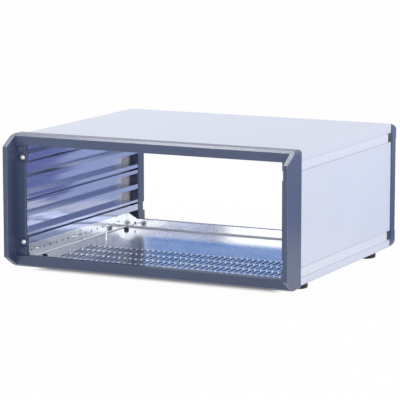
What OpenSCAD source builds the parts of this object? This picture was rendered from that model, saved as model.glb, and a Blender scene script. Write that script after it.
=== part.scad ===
// Open rack mount case: two cast frames, ribbed side panels, folded covers and an inner tray.
// The origin lies under the middle of the case, on the plane that its feet stand on.

/* [Case] */
// Outer width of both frames
case_w = 490; // [440:1:560]
// Outer height of both frames
case_h = 213; // [200:1:260]
// Length of the body between the two frames
body_depth = 374; // [340:1:460]
// Height of the frames above the ground
foot_drop = 5.5; // [4:0.5:12]
// Outer corner radius of both frames
corner_r = 6; // [2:0.5:9]

/* [Front frame] */
// Depth of the ring behind the front of the panel flange
front_ring_depth = 21; // [16:0.5:30]
// Thickness of the panel flange between its corner pads
flange_t = 5.5; // [4.8:0.1:7]
// Thickness of the corner pads of the flange, in front of the socket for the body
pad_t = 10; // [9.2:0.2:13]
// Rim of the corner pads beside the screw pockets
pad_rim = 1; // [0.5:0.1:3]
// Reach of the side ears in front of the flange
ear_reach = 30.5; // [15:0.5:45]
// Thickness of the side ears
ear_t = 8.2; // [5:0.2:12]
// Height lost by the sloping ends of the ears
ear_drop = 18.5; // [8:0.5:28]
// Reach of the top and bottom bars in front of the flange
brow_reach = 5.5; // [2:0.5:10]
// Height of the top and bottom bars of the front frame
bar_h = 17.5; // [13:0.5:20]
// Width of the panel flange beside each ear
flange_w = 14.8; // [13.6:0.2:20]

/* [Rear frame] */
// Depth of the rear ring
rear_ring_depth = 16; // [13:0.5:24]
// Depth of the necks that reach inside the covers to the ribs of the side panels
rear_neck = 5.5; // [3:0.5:9]
// Height of the top and bottom bars of the rear ring
rear_bar_h = 11.5; // [9:0.5:14]
// Step from the front frame down to the top of the rear frame
rear_drop = 4; // [3:0.5:6]
// Depth of the sloping upper and lower ends of the rear frame
rear_slope_len = 12; // [4:0.5:14]
// Height lost by the sloping ends of the rear frame
rear_slope_h = 8; // [3:0.5:10]
// Width of the upright members of the rear ring
rear_post_w = 21.4; // [20.6:0.2:28]
// Extra thickness of the four rear corners
bumper_t = 2.5; // [1:0.5:6]
// Rim of the thicker rear corners beside the panel inserts
bumper_rim = 2.7; // [1:0.1:4]
// Length of the lugs that close the ends of the trim strips
lug_len = 18; // [8:1:30]

/* [Covers] */
// Step from the frames down to the top and bottom covers
skin_drop = 3; // [1.5:0.5:6]
// Step from the frames in to the sides of the body
skin_inset = 2.2; // [1.6:0.2:4]
// Thickness of the folded sheets
sheet_t = 1.5; // [1:0.1:2]
// Outer bend radius of the folded sheets
bend_r = 4; // [2.5:0.5:6]
// Height of the side skirts of the covers
skirt_h = 29.2; // [26:0.2:34]
// Height of the trim strips over the skirts
trim_h = 14; // [11:0.5:17]
// Thickness of the trim strips
trim_t = 1.8; // [1.4:0.1:2.2]

/* [Side panels] */
// Thickness of the main wall
wall_t = 2.5; // [1.8:0.1:4]
// Thickness of the wall behind the skirts
lap_t = 2.4; // [1.6:0.1:3]
// Depth of the ribs and slotted bosses, from the outer face
rib_depth = 18.4; // [17:0.2:20]
// Height of the slotted bosses
boss_h = 16; // [13:0.5:18]
// Distance from an outer slot to its screw channel
channel_gap = 8; // [7:0.2:10]
// Step from the screw channels to the edge of the skirts
channel_inset = 1.8; // [1:0.2:4]
// Height of a plain rib at the wall
rib_h = 9; // [6:0.5:11]
// Height of a plain rib at its tip
rib_tip = 8; // [3:0.5:9]
// Width of the slot mouths
slot_mouth = 3.2; // [2:0.2:4]
// Width of the slots behind their lips
slot_w = 8; // [6:0.2:9]
// Thickness of the slot lips
slot_lip = 2; // [1.4:0.1:3]
// Width of a boss round its screw channel
channel_d = 9; // [8:0.2:10]

/* [Inner tray] */
// Gap between the tray and the front frame
tray_gap = 3; // [1:0.5:10]
// Height of the side flanges above the floor
tray_side_h = 26.5; // [18:0.5:30]
// Height of the rear lip above the floor
tray_lip_h = 15; // [8:0.5:15.5]
// Width of the sloping ends of the rear lip
lip_slope_w = 19.5; // [8:0.5:30]
// Space behind the rear lip
tray_back = 22; // [10:1:40]
// Pitch of the holes in the side flanges
tray_hole_pitch = 20; // [15:1:30]
// Diameter of the holes in the side flanges
tray_hole_d = 4; // [3.6:0.1:4.4]
// Height of those holes above the floor
tray_hole_h = 12.5; // [10:0.5:14]

/* [Vents] */
// Rows of slots across the floor
vent_rows = 4; // [1:1:6]
// Plain sheet between the slots and the feet
vent_margin = 2; // [1:0.5:24]
// Pitch of the slots across the floor
vent_pitch_x = 10; // [8:0.5:10]
// Pitch of the rows
vent_pitch_y = 40; // [30:1:42]
// Length of a slot
vent_len = 33; // [15:0.5:36]
// Width of a slot
vent_w = 4.6; // [3:0.2:6]
// Distance from the front frame to the middle of the first row
vent_start = 29; // [26:0.5:34]

/* [Feet] */
// Diameter of a foot
foot_d = 36; // [30:0.5:38]
// Radius of the lower edge of a foot
foot_edge = 2.2; // [1:0.1:3]
// Distance of the feet from the side flanges of the tray
foot_inset = 18; // [14:0.5:24]
// Distance of the front feet from the front frame
foot_front = 37; // [20:0.5:60]
// Distance of the rear feet from the rear frame
foot_back = 56; // [36:0.5:80]
// Diameter of the rivet shank
rivet_d = 4.8; // [3.5:0.1:5.4]
// Diameter of the rivet head on the tray
rivet_head_d = 8.4; // [7:0.2:10]
// Height of the rivet head on the tray
rivet_head_h = 4.4; // [1.5:0.1:5]

/* [Fasteners] */
// Diameter of the frame screws
screw_d = 3.8; // [3:0.1:4]
// Head diameter of the frame screws
screw_head_d = 9.2; // [6.5:0.1:10]
// Head height of the frame screws
screw_head_h = 3; // [2:0.1:3.6]
// Length of the frame screws under the head
screw_len = 34; // [28:0.5:50]
// Depth of the pockets that hold the screw heads
pocket_depth = 4; // [2:0.2:7]
// Height of the pockets that hold the screw heads
pocket_h = 14.4; // [11:0.2:15]
// Distance of the panel inserts from the top and bottom bars
insert_drop = 7.3; // [5:0.1:8]
// Outer diameter of the panel inserts
insert_d = 5; // [4:0.1:5.6]
// Thread diameter of the panel inserts
insert_bore = 2.5; // [2:0.1:3]
// Length of the panel inserts
insert_len = 8; // [5:0.5:9]
// Diameter of the cover and tray screws
small_screw_d = 2.8; // [2:0.1:3]
// Head diameter of the cover and tray screws
small_head_d = 6; // [5:0.1:6.6]
// Head height of the tray screws
tray_head_h = 1.8; // [1:0.1:2.4]
// Head height of the cover screws, under the trim
cover_head_h = 0.7; // [0.4:0.1:0.8]
// Distance of the end cover screws from the frames
cover_screw_end = 40; // [30:1:80]

/* [Earth stud] */
// Diameter of the earth stud
stud_d = 4; // [3:0.5:6]
// Height of the earth stud above the floor
stud_h = 12.5; // [6:0.5:16]
// Distance of the earth stud from the side flange of the tray
stud_inset = 26.5; // [20:0.5:60]
// Distance of the earth stud from the front frame
stud_y = 229; // [200:0.5:260]
// Diameter of the base of the earth stud
stud_base_d = 7; // [6:0.2:8]
// Height of the base of the earth stud
stud_base_h = 1; // [0.5:0.1:2]

/* [Hidden] */
$fn = 48;
// Overrun of every cut
eps = 1;
// Gap round pieces that slide together
fit = 0.3;
// Gap round pieces that are fixed together
seat = 0.2;
// Gap round pieces that are pressed together
press = 0.05;

front_reach = front_ring_depth + ear_reach;
rear_reach = rear_ring_depth + bumper_t;
front_lap = front_ring_depth - pad_t;
rib_end = body_depth - rear_neck;
mid_y = (body_depth + rear_reach - front_reach) / 2;
mid_z = case_h / 2 + foot_drop;
half_w = case_w / 2;
half_h = case_h / 2;
rear_half_h = half_h - rear_drop;
ear_slope = ear_drop / ear_reach;
front_open_x = half_w - ear_t - flange_w;
rear_open_x = half_w - rear_post_w;
open_z = half_h - bar_h;
rear_open_z = rear_half_h - rear_bar_h;

skin_x = half_w - skin_inset;
skin_z = half_h - skin_drop;
lap_x = skin_x - sheet_t;
floor_z = -skin_z + sheet_t;
bend_inner = bend_r - sheet_t;
skirt_z = skin_z - skirt_h;
panel_z = skin_z - sheet_t - bend_inner - seat;
wall_x = skin_x - wall_t;
rib_x = skin_x - rib_depth;
lap_inner_x = lap_x - lap_t;
boss_hi = skirt_z - channel_inset;
screw_z = boss_hi - channel_d / 2;
slot_pitch = screw_z - channel_gap;
boss_lo = slot_pitch - slot_w / 2 - slot_lip;
rib_pitch = (boss_h / 2 + boss_lo) / 2;
channel_x = rib_x + channel_d / 2;
pad_z = screw_z - pocket_h / 2 - pad_rim;
trim_z = skirt_z + trim_h / 2 + fit;
trim_back = cover_head_h + fit;

tray_top = floor_z + sheet_t;
tray_x = lap_inner_x;
tray_start = tray_gap - front_lap;
tray_end = body_depth - tray_back;
tray_flange_z = tray_top + tray_side_h;
tray_hole_z = tray_top + tray_hole_h;
tray_hole_count = floor((tray_end - 2 * tray_hole_pitch) / tray_hole_pitch);
tray_screw_index = [1, floor(tray_hole_count / 2), tray_hole_count - 2];
cover_screw_y = [cover_screw_end, body_depth / 2, body_depth - cover_screw_end];

insert_x = front_open_x + flange_w / 2;
insert_z = open_z - insert_drop;
bumper_z = insert_z - insert_d / 2 - bumper_rim;
foot_h = foot_drop + skin_drop;
foot_x = tray_x - foot_inset;
foot_y = [foot_front, body_depth - foot_back];
stud_x = tray_x - stud_inset;
vent_side = floor((foot_x - foot_d / 2 - vent_margin) / vent_pitch_x);

// Moves a piece from the middle of the front joint to its place over the origin
module place() {
    translate([0, -mid_y, mid_z]) children();
}

// Extrudes an outline of width and height along the depth of the case
module along_y(start, len) {
    translate([0, start + len, 0]) rotate([90, 0, 0]) linear_extrude(len) children();
}

// Extrudes an outline of depth and height along the width of the case
module along_x(start, len) {
    translate([start, 0, 0]) rotate([90, 0, 90]) linear_extrude(len) children();
}

// Copies a piece to the left and the right
module both_sides() {
    for (side = [0, 1]) mirror([side, 0, 0]) children();
}

// Copies a piece to the top and the bottom
module both_ends() {
    for (end = [0, 1]) mirror([0, 0, end]) children();
}

// Copies a piece to all four corners
module four_corners() {
    both_sides() both_ends() children();
}

// Rectangle with round corners, centred
module rounded_rect(w, h, r) {
    square([w - 2 * r, h], center = true);
    square([w, h - 2 * r], center = true);
    for (x = [-1, 1], y = [-1, 1])
        translate([x * (w / 2 - r), y * (h / 2 - r)]) circle(r);
}

// Pocket and hole for one frame screw, cut from a face that looks along -Y
module screw_pocket(face, edge_x, proud, through) {
    along_y(face - proud - eps, pocket_depth + proud + eps) {
        translate([channel_x, screw_z]) circle(d = pocket_h);
        translate([edge_x - eps, screw_z - pocket_h / 2])
            square([channel_x - edge_x + eps, pocket_h]);
    }
    along_y(face, through + eps) translate([channel_x, screw_z]) circle(d = screw_d + 2 * fit);
}

// Side outline of an ear
module ear_outline() {
    front = -front_ring_depth - ear_reach;
    polygon([[0, -half_h], [0, half_h], [-front_ring_depth, half_h], [front, half_h - ear_drop],
        [front, -half_h + ear_drop], [-front_ring_depth, -half_h]]);
}

// Side outline of the top bar of the front frame
module brow_outline() {
    front = -front_ring_depth - brow_reach;
    polygon([[0, open_z], [0, half_h], [-front_ring_depth, half_h],
        [front, half_h - brow_reach * ear_slope], [front, open_z]]);
}

// Outline of the front ring and its ears, before the body's socket is cut
module front_casting() {
    intersection() {
        union() {
            along_y(-front_ring_depth, front_ring_depth) difference() {
                square([case_w, case_h], center = true);
                square([2 * front_open_x, 2 * open_z], center = true);
            }
            both_ends() along_x(-half_w, case_w) brow_outline();
            both_sides() along_x(half_w - ear_t, ear_t) ear_outline();
        }
        along_y(-front_reach, front_reach) rounded_rect(case_w, case_h, corner_r);
    }
}

module front_frame() {
    color("#4a5466") place() difference() {
        front_casting();
        along_y(-front_lap, front_lap + eps)
            rounded_rect(2 * (skin_x + fit), 2 * (skin_z + fit), bend_r + fit);
        along_y(-front_ring_depth + flange_t, pad_t - flange_t + eps)
            square([2 * (skin_x + fit), 2 * pad_z], center = true);
        four_corners() screw_pocket(-front_ring_depth, front_open_x, 0, pad_t);
        four_corners() along_y(-front_ring_depth - eps, insert_len + eps)
            translate([insert_x, insert_z]) circle(d = insert_d + 2 * press);
    }
}

// Outline of the rear ring, as seen from behind
module rear_ring_outline() {
    difference() {
        rounded_rect(case_w, 2 * rear_half_h, corner_r);
        square([2 * rear_open_x, 2 * rear_open_z], center = true);
    }
}

// Side outline of the rear frame
module rear_side_outline() {
    back = body_depth + rear_reach;
    polygon([[body_depth, -rear_half_h], [body_depth, rear_half_h], [back - rear_slope_len, rear_half_h],
        [back, rear_half_h - rear_slope_h], [back, -rear_half_h + rear_slope_h],
        [back - rear_slope_len, -rear_half_h]]);
}

// Rear ring with its thicker corners and sloping ends
module rear_casting() {
    intersection() {
        union() {
            along_y(body_depth, rear_ring_depth) rear_ring_outline();
            along_y(body_depth, rear_reach) intersection() {
                rear_ring_outline();
                for (x = [-1, 1], y = [-1, 1]) translate([x * half_w, y * rear_half_h])
                    square(2 * [rear_post_w, rear_half_h - bumper_z], center = true);
            }
        }
        along_x(-half_w - eps, case_w + 2 * eps) rear_side_outline();
    }
}

module rear_frame() {
    color("#4a5466") place() difference() {
        union() {
            rear_casting();
            four_corners() translate([skin_x, body_depth - lug_len, trim_z - trim_h / 2])
                cube([trim_t, lug_len + eps, trim_h]);
            both_sides() translate([rear_open_x, rib_end, -rear_open_z])
                cube([lap_inner_x - fit - rear_open_x, rear_neck + eps, 2 * rear_open_z]);
        }
        translate([0, body_depth + rear_ring_depth, 0]) mirror([0, 1, 0])
            four_corners() screw_pocket(0, rear_open_x, bumper_t, rear_ring_depth + rear_neck);
        four_corners() along_y(body_depth + rear_reach - insert_len, insert_len + eps)
            translate([insert_x, insert_z]) circle(d = insert_d + 2 * press);
    }
}

// Mouth and undercut of one slot, open to the inside of the case
module slot_outline() {
    translate([rib_x - eps, -slot_mouth / 2]) square([slot_lip + 2 * eps, slot_mouth]);
    translate([rib_x + slot_lip, -slot_w / 2]) square([wall_x - rib_x - slot_lip - seat, slot_w]);
}

// Section of the outer wall of the right side panel, with the laps behind the skirts
module panel_wall_outline() {
    translate([wall_x, -skirt_z]) square([wall_t, 2 * skirt_z]);
    for (end = [0, 1]) mirror([0, end]) translate([lap_inner_x, boss_hi - slot_lip]) {
        square([lap_t, panel_z - boss_hi + slot_lip]);
        square([wall_x - lap_inner_x + eps, skirt_z - boss_hi + slot_lip]);
    }
}

// Section of the ribs and slotted bosses inside the right side panel
module panel_rib_outline() {
    root = wall_x + eps;
    difference() {
        union() {
            translate([rib_x, -boss_h / 2]) square([root - rib_x, boss_h]);
            for (end = [0, 1]) mirror([0, end]) {
                polygon([[root, rib_pitch + rib_h / 2], [rib_x, rib_pitch + rib_tip / 2],
                    [rib_x, rib_pitch - rib_tip / 2], [root, rib_pitch - rib_h / 2]]);
                translate([rib_x, boss_lo]) square([root - rib_x, boss_hi - boss_lo]);
            }
        }
        slot_outline();
        for (end = [0, 1]) mirror([0, end]) {
            translate([0, slot_pitch]) slot_outline();
            translate([channel_x, screw_z]) circle(d = screw_d + 2 * seat);
        }
    }
}

// Right side panel with its screw holes, its ribs cut back at the rear for the necks of the frame
module side_panel() {
    difference() {
        union() {
            along_y(-front_lap, front_lap + body_depth) panel_wall_outline();
            along_y(-front_lap, front_lap + rib_end) panel_rib_outline();
        }
        both_ends() cover_screw_holes();
        tray_screw_places() translate([tray_x - eps, 0, 0]) rotate([0, 90, 0])
            cylinder(d = small_screw_d + 2 * seat, h = lap_t + 2 * eps);
    }
}

module left_side_panel() {
    color("#c3c9dc") place() mirror([1, 0, 0]) side_panel();
}

module right_side_panel() {
    color("#c3c9dc") place() side_panel();
}

// Places for the cover screws of the upper right skirt
module cover_screw_places() {
    for (y = cover_screw_y) translate([0, y, trim_z]) children();
}

// Holes for the cover screws of the upper right skirt
module cover_screw_holes() {
    cover_screw_places() translate([lap_inner_x - eps, 0, 0]) rotate([0, 90, 0])
        cylinder(d = small_screw_d + 2 * seat, h = skin_x - lap_inner_x + 2 * eps);
}

// Distance of a flange hole from the front frame
function tray_hole_y(i) = tray_gap + tray_hole_pitch * (i + 1);

// Places for the tray screws of the right flange
module tray_screw_places() {
    for (i = tray_screw_index) translate([0, tray_hole_y(i), tray_hole_z]) children();
}

// Section of a cover: a sheet with two bent skirts
module cover_outline() {
    intersection() {
        difference() {
            rounded_rect(2 * skin_x, 2 * skin_z, bend_r);
            rounded_rect(2 * lap_x, 2 * (skin_z - sheet_t), bend_inner);
        }
        translate([-skin_x, skirt_z]) square([2 * skin_x, skirt_h]);
    }
}

// Folded cover with its screw holes, as it lies on top
module cover() {
    difference() {
        along_y(-front_lap, front_lap + body_depth) cover_outline();
        both_sides() cover_screw_holes();
    }
}

// Outlines of all the slots in the floor
module vent_outline() {
    for (row = [0:vent_rows - 1], column = [-vent_side:vent_side])
        translate([column * vent_pitch_x, vent_start + row * vent_pitch_y]) {
            square([vent_w, vent_len - vent_w], center = true);
            for (end = [-1, 1]) translate([0, end * (vent_len - vent_w) / 2]) circle(d = vent_w);
        }
}

// Rivet holes through the floor
module rivet_holes(d) {
    both_sides() for (y = foot_y) translate([foot_x, y]) circle(d = d);
}

module top_cover() {
    color("#d6daec") place() cover();
}

module bottom_cover() {
    color("#d6daec") place() difference() {
        mirror([0, 0, 1]) cover();
        translate([0, 0, -skin_z - eps]) linear_extrude(sheet_t + 2 * eps) {
            vent_outline();
            rivet_holes(rivet_d + 2 * seat);
        }
        translate([-stud_x, stud_y, -skin_z - eps])
            cylinder(d = stud_base_d + eps, h = sheet_t + 2 * eps);
    }
}

// Section of the tray across the case
module tray_outline() {
    rise = tray_flange_z - floor_z;
    intersection() {
        difference() {
            translate([0, rise]) rounded_rect(2 * tray_x, 2 * rise, bend_r);
            translate([0, rise]) rounded_rect(2 * (tray_x - sheet_t), 2 * (rise - sheet_t), bend_inner);
        }
        translate([-tray_x, 0]) square([2 * tray_x, rise]);
    }
}

// Section of the two side flanges of the tray, without the floor between them
module tray_flange_outline() {
    difference() {
        tray_outline();
        square([2 * (tray_x - bend_r), 2 * sheet_t + eps], center = true);
    }
}

// Section of the rear lip of the tray along the case
module tray_lip_outline() {
    rise = sheet_t + tray_lip_h;
    run = 3 * bend_r;
    intersection() {
        difference() {
            translate([tray_end - run, rise]) rounded_rect(2 * run, 2 * rise, bend_r);
            translate([tray_end - run, rise])
                rounded_rect(2 * (run - sheet_t), 2 * (rise - sheet_t), bend_inner);
        }
        translate([tray_end - run, 0]) square([run, rise]);
    }
}

// Rear lip of the tray, its ends sloping up to the side flanges
module tray_lip(half) {
    top = sheet_t + tray_lip_h;
    along_x(-half, 2 * half) tray_lip_outline();
    both_sides() along_y(tray_end - sheet_t, sheet_t)
        polygon([[half - lip_slope_w, top - eps], [half - lip_slope_w, top],
            [half, tray_flange_z - floor_z], [half, top - eps]]);
}

module chassis_tray() {
    flange_len = tray_end - tray_start;
    color("#c9cede") place() difference() {
        translate([0, 0, floor_z]) {
            along_y(tray_start, flange_len - bend_r) tray_outline();
            along_y(tray_start, flange_len) tray_flange_outline();
            tray_lip(tray_x - sheet_t - seat);
        }
        translate([0, 0, floor_z - eps]) linear_extrude(sheet_t + 2 * eps) {
            vent_outline();
            rivet_holes(rivet_d + 2 * seat);
            translate([-stud_x, stud_y]) circle(d = stud_d + 2 * seat);
        }
        both_sides() for (i = [0:tray_hole_count - 1])
            translate([tray_x - sheet_t - eps, tray_hole_y(i), tray_hole_z]) rotate([0, 90, 0])
                cylinder(d = tray_hole_d, h = sheet_t + 2 * eps);
        both_sides() translate([foot_x, tray_end - sheet_t - eps, floor_z + tray_lip_h / 2 + sheet_t])
            rotate([-90, 0, 0]) cylinder(d = tray_hole_d, h = sheet_t + 2 * eps);
    }
}

// Section of the upper right trim strip: crowned outside, channelled behind
module trim_outline() {
    edge = trim_t / 3;
    difference() {
        polygon([[skin_x, trim_z - trim_h / 2], [skin_x, trim_z + trim_h / 2],
            [skin_x + trim_t - edge, trim_z + trim_h / 2], [skin_x + trim_t, trim_z + trim_h / 2 - edge],
            [skin_x + trim_t, trim_z - trim_h / 2 + edge], [skin_x + trim_t - edge, trim_z - trim_h / 2]]);
        translate([skin_x - eps, trim_z - small_head_d / 2 - fit])
            square([trim_back + eps, small_head_d + 2 * fit]);
    }
}

// Trim strip, on the side and at the end that are named
module trim_strip(left, lower) {
    place() mirror([left, 0, 0]) mirror([0, 0, lower])
        along_y(0, body_depth - lug_len) trim_outline();
}

module upper_left_trim() {
    color("#d0d4e6") trim_strip(1, 0);
}

module upper_right_trim() {
    color("#d0d4e6") trim_strip(0, 0);
}

module lower_left_trim() {
    color("#d0d4e6") trim_strip(1, 1);
}

module lower_right_trim() {
    color("#d0d4e6") trim_strip(0, 1);
}

// Half section of a foot, with a round lower edge and a recess for the rivet
module foot_outline() {
    bore = rivet_d / 2 + seat;
    recess = rivet_head_d / 2 + seat;
    rim = foot_d / 2 - foot_edge;
    translate([bore, foot_h / 2]) square([foot_d / 2 - bore, foot_h / 2]);
    translate([recess, 0]) square([rim - recess, foot_h]);
    translate([recess, foot_edge]) square([foot_d / 2 - recess, foot_h - foot_edge]);
    translate([rim, foot_edge]) circle(foot_edge);
}

// Round foot under the bottom cover
module foot(side, y) {
    place() translate([side * foot_x, y, -skin_z - foot_h]) rotate_extrude() foot_outline();
}

module front_left_foot() {
    color("#1c1d20") foot(-1, foot_y[0]);
}

module front_right_foot() {
    color("#1c1d20") foot(1, foot_y[0]);
}

module rear_left_foot() {
    color("#1c1d20") foot(-1, foot_y[1]);
}

module rear_right_foot() {
    color("#1c1d20") foot(1, foot_y[1]);
}

// Rivet that holds a foot: its upper head stands on the tray, its lower head in the foot
module foot_rivet(side, y) {
    foot_seat = -skin_z - foot_h / 2;
    head_r = rivet_head_d / 2;
    round_edge = rivet_head_h / 4;
    place() translate([side * foot_x, y, 0]) rotate_extrude()
        polygon([[0, foot_seat - rivet_head_h / 2], [head_r, foot_seat - rivet_head_h / 2],
            [head_r, foot_seat], [rivet_d / 2, foot_seat], [rivet_d / 2, tray_top], [head_r, tray_top],
            [head_r, tray_top + rivet_head_h - round_edge],
            [head_r - round_edge, tray_top + rivet_head_h], [0, tray_top + rivet_head_h]]);
}

module front_left_rivet() {
    color("#141517") foot_rivet(-1, foot_y[0]);
}

module front_right_rivet() {
    color("#141517") foot_rivet(1, foot_y[0]);
}

module rear_left_rivet() {
    color("#141517") foot_rivet(-1, foot_y[1]);
}

module rear_right_rivet() {
    color("#141517") foot_rivet(1, foot_y[1]);
}

// Frame screw with a domed head and a cross recess, its head seat at the origin, pointing along +Y
module frame_screw() {
    dome_r = (pow(screw_head_d / 2, 2) + pow(screw_head_h, 2)) / (2 * screw_head_h);
    cross_w = screw_head_d / 8;
    rotate([90, 0, 0]) {
        difference() {
            intersection() {
                cylinder(d = screw_head_d, h = screw_head_h);
                translate([0, 0, screw_head_h - dome_r]) sphere(dome_r);
            }
            for (turn = [0, 90]) rotate(turn) translate([-screw_head_d / 4, -cross_w / 2, screw_head_h / 2])
                cube([screw_head_d / 2, cross_w, screw_head_h]);
        }
        translate([0, 0, -screw_len]) cylinder(d = screw_d, h = screw_len);
    }
}

module front_frame_screws() {
    color("#dfe2ea") place() four_corners()
        translate([channel_x, -front_ring_depth + pocket_depth, screw_z]) frame_screw();
}

module rear_frame_screws() {
    color("#dfe2ea") place() four_corners()
        translate([channel_x, body_depth + rear_ring_depth - pocket_depth, screw_z])
            mirror([0, 1, 0]) frame_screw();
}

// Threaded panel insert along +Y
module panel_insert() {
    rotate([-90, 0, 0]) difference() {
        cylinder(d = insert_d, h = insert_len);
        translate([0, 0, -eps]) cylinder(d = insert_bore, h = insert_len + 2 * eps);
    }
}

module front_panel_inserts() {
    color("#dfe2ea") place() four_corners()
        translate([insert_x, -front_ring_depth, insert_z]) panel_insert();
}

module rear_panel_inserts() {
    color("#dfe2ea") place() four_corners()
        translate([insert_x, body_depth + rear_reach - insert_len, insert_z]) panel_insert();
}

// Cover screw in the upper right skirt, its head under the trim strip
module cover_screw() {
    rotate([0, 90, 0]) {
        translate([0, 0, skin_x]) cylinder(d = small_head_d, h = cover_head_h);
        translate([0, 0, lap_inner_x + seat]) cylinder(d = small_screw_d, h = skin_x - lap_inner_x - seat);
    }
}

module top_cover_screws() {
    color("#c8ccd6") place() both_sides() cover_screw_places() cover_screw();
}

module bottom_cover_screws() {
    color("#c8ccd6") place() mirror([0, 0, 1]) both_sides() cover_screw_places() cover_screw();
}

module tray_screws() {
    head_seat = tray_x - sheet_t;
    color("#dfe2ea") place() both_sides() tray_screw_places() rotate([0, 90, 0]) {
        translate([0, 0, head_seat - tray_head_h]) cylinder(d = small_head_d, h = tray_head_h);
        translate([0, 0, head_seat]) cylinder(d = small_screw_d, h = sheet_t + lap_t - seat);
    }
}

module earth_stud() {
    color("#eceef4") place() translate([-stud_x, stud_y, 0]) {
        translate([0, 0, floor_z - stud_base_h]) cylinder(d = stud_base_d, h = stud_base_h);
        translate([0, 0, floor_z - eps / 2]) cylinder(d = stud_d, h = tray_top - floor_z + stud_h + eps / 2);
        translate([0, 0, tray_top]) cylinder(d = stud_base_d, h = stud_base_h);
    }
}

front_frame();
rear_frame();
left_side_panel();
right_side_panel();
top_cover();
bottom_cover();
chassis_tray();
upper_left_trim();
upper_right_trim();
lower_left_trim();
lower_right_trim();
front_left_foot();
front_right_foot();
rear_left_foot();
rear_right_foot();
front_left_rivet();
front_right_rivet();
rear_left_rivet();
rear_right_rivet();
front_frame_screws();
rear_frame_screws();
front_panel_inserts();
rear_panel_inserts();
top_cover_screws();
bottom_cover_screws();
tray_screws();
earth_stud();
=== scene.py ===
import logging
import math
from dataclasses import dataclass, field, replace
from enum import Enum
from typing import Iterable, Protocol

import bmesh
import bpy
from mathutils import Matrix, Vector


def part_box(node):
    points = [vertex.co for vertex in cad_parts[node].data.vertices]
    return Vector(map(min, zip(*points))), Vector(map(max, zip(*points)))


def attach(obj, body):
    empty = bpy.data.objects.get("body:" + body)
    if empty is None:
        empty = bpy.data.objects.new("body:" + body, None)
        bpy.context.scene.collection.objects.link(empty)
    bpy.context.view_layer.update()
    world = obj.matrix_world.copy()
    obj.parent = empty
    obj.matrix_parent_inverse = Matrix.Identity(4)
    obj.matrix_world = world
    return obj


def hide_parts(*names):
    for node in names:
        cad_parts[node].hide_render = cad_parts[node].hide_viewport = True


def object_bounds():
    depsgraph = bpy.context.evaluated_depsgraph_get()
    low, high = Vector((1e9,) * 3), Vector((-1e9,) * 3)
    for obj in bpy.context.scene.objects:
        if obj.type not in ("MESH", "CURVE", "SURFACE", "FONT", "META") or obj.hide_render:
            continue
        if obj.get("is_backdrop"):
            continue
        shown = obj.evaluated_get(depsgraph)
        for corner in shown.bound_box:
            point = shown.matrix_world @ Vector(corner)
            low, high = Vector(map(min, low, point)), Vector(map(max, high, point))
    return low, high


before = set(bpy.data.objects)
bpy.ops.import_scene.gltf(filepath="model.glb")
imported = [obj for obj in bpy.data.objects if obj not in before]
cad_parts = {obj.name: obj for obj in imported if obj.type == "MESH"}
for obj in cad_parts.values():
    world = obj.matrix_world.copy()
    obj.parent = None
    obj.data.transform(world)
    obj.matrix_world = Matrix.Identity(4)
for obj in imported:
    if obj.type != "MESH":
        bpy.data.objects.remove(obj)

# Kinds of value
Colour = tuple[float, float, float]
Point = tuple[float, float, float]
Pair = tuple[float, float]
Span = tuple[float, float]
Socket = bpy.types.NodeSocket

# Values that the whole script shares, with lengths in metres
LOG = logging.getLogger("rack_case")
MM = 0.001
BODY = "root"
MERGE_DISTANCE = 0.001 * MM
WHITE: Colour = (1.0, 1.0, 1.0)

# Marks that the faces of a piece carry to its material: worn edges, painted shade on the sides of punched
# slots, and a painted highlight on the slots' far ends and on a sheet's rear bend
WEAR = "edge_wear"
SHADED_CUT_SIDE = "shaded_cut_side"
LIT_CUT_END = "lit_cut_end"

# Ranges of masks and of noise, and the value that splits a mask in two
UNIT: Span = (0.0, 1.0)
NOISE_CORE: Span = (0.3, 0.7)
MASK_MIDDLE = 0.5

# Sockets of the colour mix node, which share their names with its other sockets
MIX_COLOURS = (6, 7)
MIX_RESULT = 2


class Slot(Enum):
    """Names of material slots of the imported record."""

    FRAME = "frame_paint"
    COVER = "cover_paint"
    PANEL = "side_panel"
    TRAY = "tray_sheet"
    STUD = "stud_steel"


class Axis(Enum):
    """Axes of the case, by the names of their coordinates."""

    X = "X"
    Y = "Y"
    Z = "Z"


class Stance(Enum):
    """How a studio card stands, as its tilt in degrees."""

    UPRIGHT = 90
    FLAT = 0


# Patterns, bands and nodes that the finishes share


@dataclass(frozen=True)
class Noise:
    """Noise pattern of a finish.

    Attributes:
        scale: Number of features in a metre.
        detail: Octaves of finer noise.
        stretch: Factor on the coordinates along each axis, where the pattern isn't even.
    """

    scale: float
    detail: float = 2.0
    stretch: Point | None = None


@dataclass(frozen=True)
class CutEdgeShading:
    """Colours painted on the punched edges of a sheet: painted shade on the sides of the slots and a painted
    highlight on their far ends and on the rear bend.
    """

    # Painted shade on the slots' sides, painted highlight on their far ends and the rear bend
    side: Colour = (0.34, 0.41, 0.60)
    end: Colour = (0.86, 0.88, 0.93)


@dataclass(frozen=True)
class ShadeBand:
    """Dark band painted over a coat along one axis: a painted shadow under a trim strip, or the darker lugs
    of the rear frame.

    Attributes:
        axis: Axis that the band is measured along.
        rise: Places where the shade starts and where it is full.
        stop: Place where the shade ends.
        colour: Colour of the full shade.
        off_middle: Least distance of the shade from the middle of the case.
    """

    axis: Axis
    rise: Span
    stop: float
    colour: Colour
    off_middle: float = 0.0


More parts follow.
